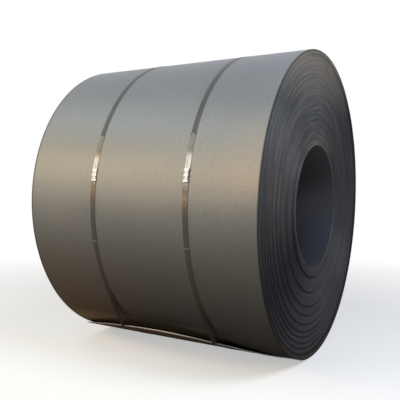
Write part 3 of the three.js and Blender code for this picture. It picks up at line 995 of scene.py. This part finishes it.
def make_seal(side):
    strap_x, lean = STRAPS[side]
    along = joint_stations()
    from_notch = np.abs(np.abs(along) - NOTCH_SPACING / 2)
    burr = BURR * np.clip(1 - np.abs(from_notch - BURR_FROM_NOTCH) / BURR_REACH, 0, 1)
    inside = 2 * STRAP_THICKNESS + AIR + 2 * STRAP_FIT
    inner_width = STRAP_WIDTH + 2 * SEAL_PLAY - 2 * notch_depth(along)
    outer_width = inner_width + 2 * SEAL_SHEET
    outer_x, outer_up = sleeve_corners(outer_width, -SEAL_SHEET, inside + SEAL_SHEET, OUTER_ROUNDING)
    inner_x, inner_up = sleeve_corners(inner_width, 0.0, inside, INNER_ROUNDING)
    outer_up[:, UPPER_CORNERS] += burr[:, None]
    angle = SEAL_ANGLE + np.degrees(along / COIL_RADIUS)
    base, outward = on_bed(BEDS[side], angle, 0.0)
    middle = strap_x + lean * base[:, 1:]
    outer = rings_along(base, outward, outer_x + middle, -outer_up)
    inner = rings_along(base, outward, inner_x + middle, -inner_up)
    rings = np.concatenate([outer, inner[::-1]])
    slots = np.zeros(rings.shape[:2], int)
    slots[:, SIDE_WALLS] = 1
    materials = [seal_steel(side), SEAL_SIDE_SHADE]
    piece = mesh_from_rings(f"crimped_seal_{side}", rings, slots, materials, sharp_degrees=40, loop=True)
    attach(piece, "root")
    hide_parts(f"seal_{side}")


for side in STRAPS:
    make_seal(side)

# %% [markdown]
# ## The camera
#
# The camera stands a little above the coil's axis, off its near end, and looks along it and slightly
# down. Its place and lens were worked out from the outlines of both ends of the coil. The small shift
# moves the picture on the film without turning the camera, as a view camera does.

# %% Camera
CAMERA_PLACE = Vector((1.8279, -3.4419, 1.1716))
CAMERA_LOOKS = Vector((-0.52713, 0.84337, -0.10427))
SENSOR = 36.0
LENS = 50.20
SHIFT = 0.075

camera_data = bpy.data.cameras.new("camera")
camera_data.sensor_width = SENSOR
camera_data.lens = LENS
camera_data.shift_x = camera_data.shift_y = SHIFT
camera = add_object("camera", camera_data)
camera.location = CAMERA_PLACE
camera.rotation_euler = CAMERA_LOOKS.to_track_quat("-Z", "Y").to_euler()
bpy.context.scene.camera = camera
print(f"the camera is {(CAMERA_PLACE - Vector((0, 0, AXIS_HEIGHT))).length:.2f} m from the coil's middle")

# %% [markdown]
# ## Light
#
# Steel is judged by its reflections, so the lamps are large and soft. A weak blue panel hangs over the
# coil like an overcast sky, and a cool one above its front lights the shoulder. The strongest is a
# wide, low, warm panel off to the front left: it lays the broad golden band along the barrel and
# leaves the underside dark. A smaller cool panel beyond the near end picks out the turns there. A sun
# lamp would be simpler, but it would draw one hard stripe. The lamps are hidden from the camera, and
# they stay at a plain level.

# %% Lamps
def add_panel(name, place, towards, width, height, watts, colour):
    lamp = bpy.data.lights.new(name, "AREA")
    lamp.shape = "RECTANGLE"
    lamp.size = width
    lamp.size_y = height
    lamp.energy = watts
    lamp.color = colour
    panel = add_object(name, lamp)
    panel.location = place
    panel.rotation_euler = (Vector(towards) - Vector(place)).to_track_quat("-Z", "Y").to_euler()
    panel.visible_camera = False
    print(f"{name}: {watts} W over {width * height:.1f} square metres")


add_panel("overhead_panel", (0.2, -0.2, 4.4), (0.0, 0.0, 0.9), 4.0, 4.0, 8, (0.25, 0.45, 1.0))
add_panel("high_panel", (-1.4, -2.6, 4.4), (0.2, -0.3, 1.0), 5.0, 1.5, 43, (0.68, 0.92, 1.0))
add_panel("low_panel", (-1.8, -4.2, 2.8), (0.2, -0.6, 1.0), 5.0, 1.5, 101, (1.0, 0.77, 0.44))
add_panel("end_panel", (3.0, -0.9, 3.4), (0.77, 0.0, 1.0), 1.5, 1.5, 70, (0.78, 0.86, 1.0))

# %% [markdown]
# ## Floor and background
#
# The coil lies on a plain pale floor in front of a white background. Seen by the camera, or in a
# reflection, the world is white, and the floor glows just enough to look nearly white as well and
# still show the coil's shadow. For the light that they cast both are dimmer, so that the underside of
# the coil stays dark. The Light Path node makes that switch. Turning up the lamps would whiten the
# floor too, but it would bleach the steel. Far from the coil the floor fades into the white world.

# %% White world
WORLD_LIGHT = 0.11  # strength of the white for the light that it casts; seen directly it is 1


def seen_directly(recipe):
    """1 for rays from the camera, in reflections and through glass, and 0 for light that spreads."""
    path = recipe.node("LightPath")
    rays = ("Is Camera Ray", "Is Glossy Ray", "Is Transmission Ray")
    return recipe.most(*(path.outputs[ray] for ray in rays))


white = Recipe("white", bpy.data.worlds, "Background")
strength = white.spread(seen_directly(white), 0.0, 1.0, WORLD_LIGHT, 1.0)
white.feed_named(white.shader, {"Color": (1.0, 1.0, 1.0), "Strength": strength})
bpy.context.scene.world = white.owner
bpy.context.scene.view_settings.view_transform = "Standard"
print(f"the world casts {WORLD_LIGHT} of the light that it shows")

# %% Finish of the floor
FADE_FROM, FADE_TO = 1.6, 4.2
FLOOR_GLOW = 0.48


def floor_finish():
    recipe = Recipe("pale_floor")
    x, y, _ = recipe.point()
    distance = recipe.math("SQRT", recipe.plus(recipe.times(x, x), recipe.times(y, y)))
    seen = seen_directly(recipe)
    colour = recipe.mix(seen, (0.60, 0.60, 0.60), (0.80, 0.80, 0.80))
    recipe.feed_named(recipe.shader, {
        "Base Color": colour,
        "Roughness": 0.9,
        "Specular IOR Level": 0.0,
        "Emission Color": (1.0, 1.0, 1.0),
        "Emission Strength": recipe.times(seen, FLOOR_GLOW),
    })
    glow = recipe.node("Emission", Strength=recipe.spread(seen, 0.0, 1.0, WORLD_LIGHT, 1.0))
    faded = recipe.spread(distance, FADE_FROM, FADE_TO)
    blend = recipe.node("MixShader", faded, recipe.shader.outputs[0], glow.outputs[0])
    recipe.feed(recipe.tree.nodes["Material Output"].inputs[0], blend.outputs[0])
    return recipe.owner


# %% Pale floor
FLOOR_SIZE = 60.0

half = FLOOR_SIZE / 2
corners = [(-half, -half, 0), (half, -half, 0), (half, half, 0), (-half, half, 0)]
floor_mesh = bpy.data.meshes.new("floor")
floor_mesh.from_pydata(corners, [], [(0, 1, 2, 3)])
floor_mesh.materials.append(floor_finish())
add_object("floor", floor_mesh)
print(f"the floor is {FLOOR_SIZE:.0f} m wide")
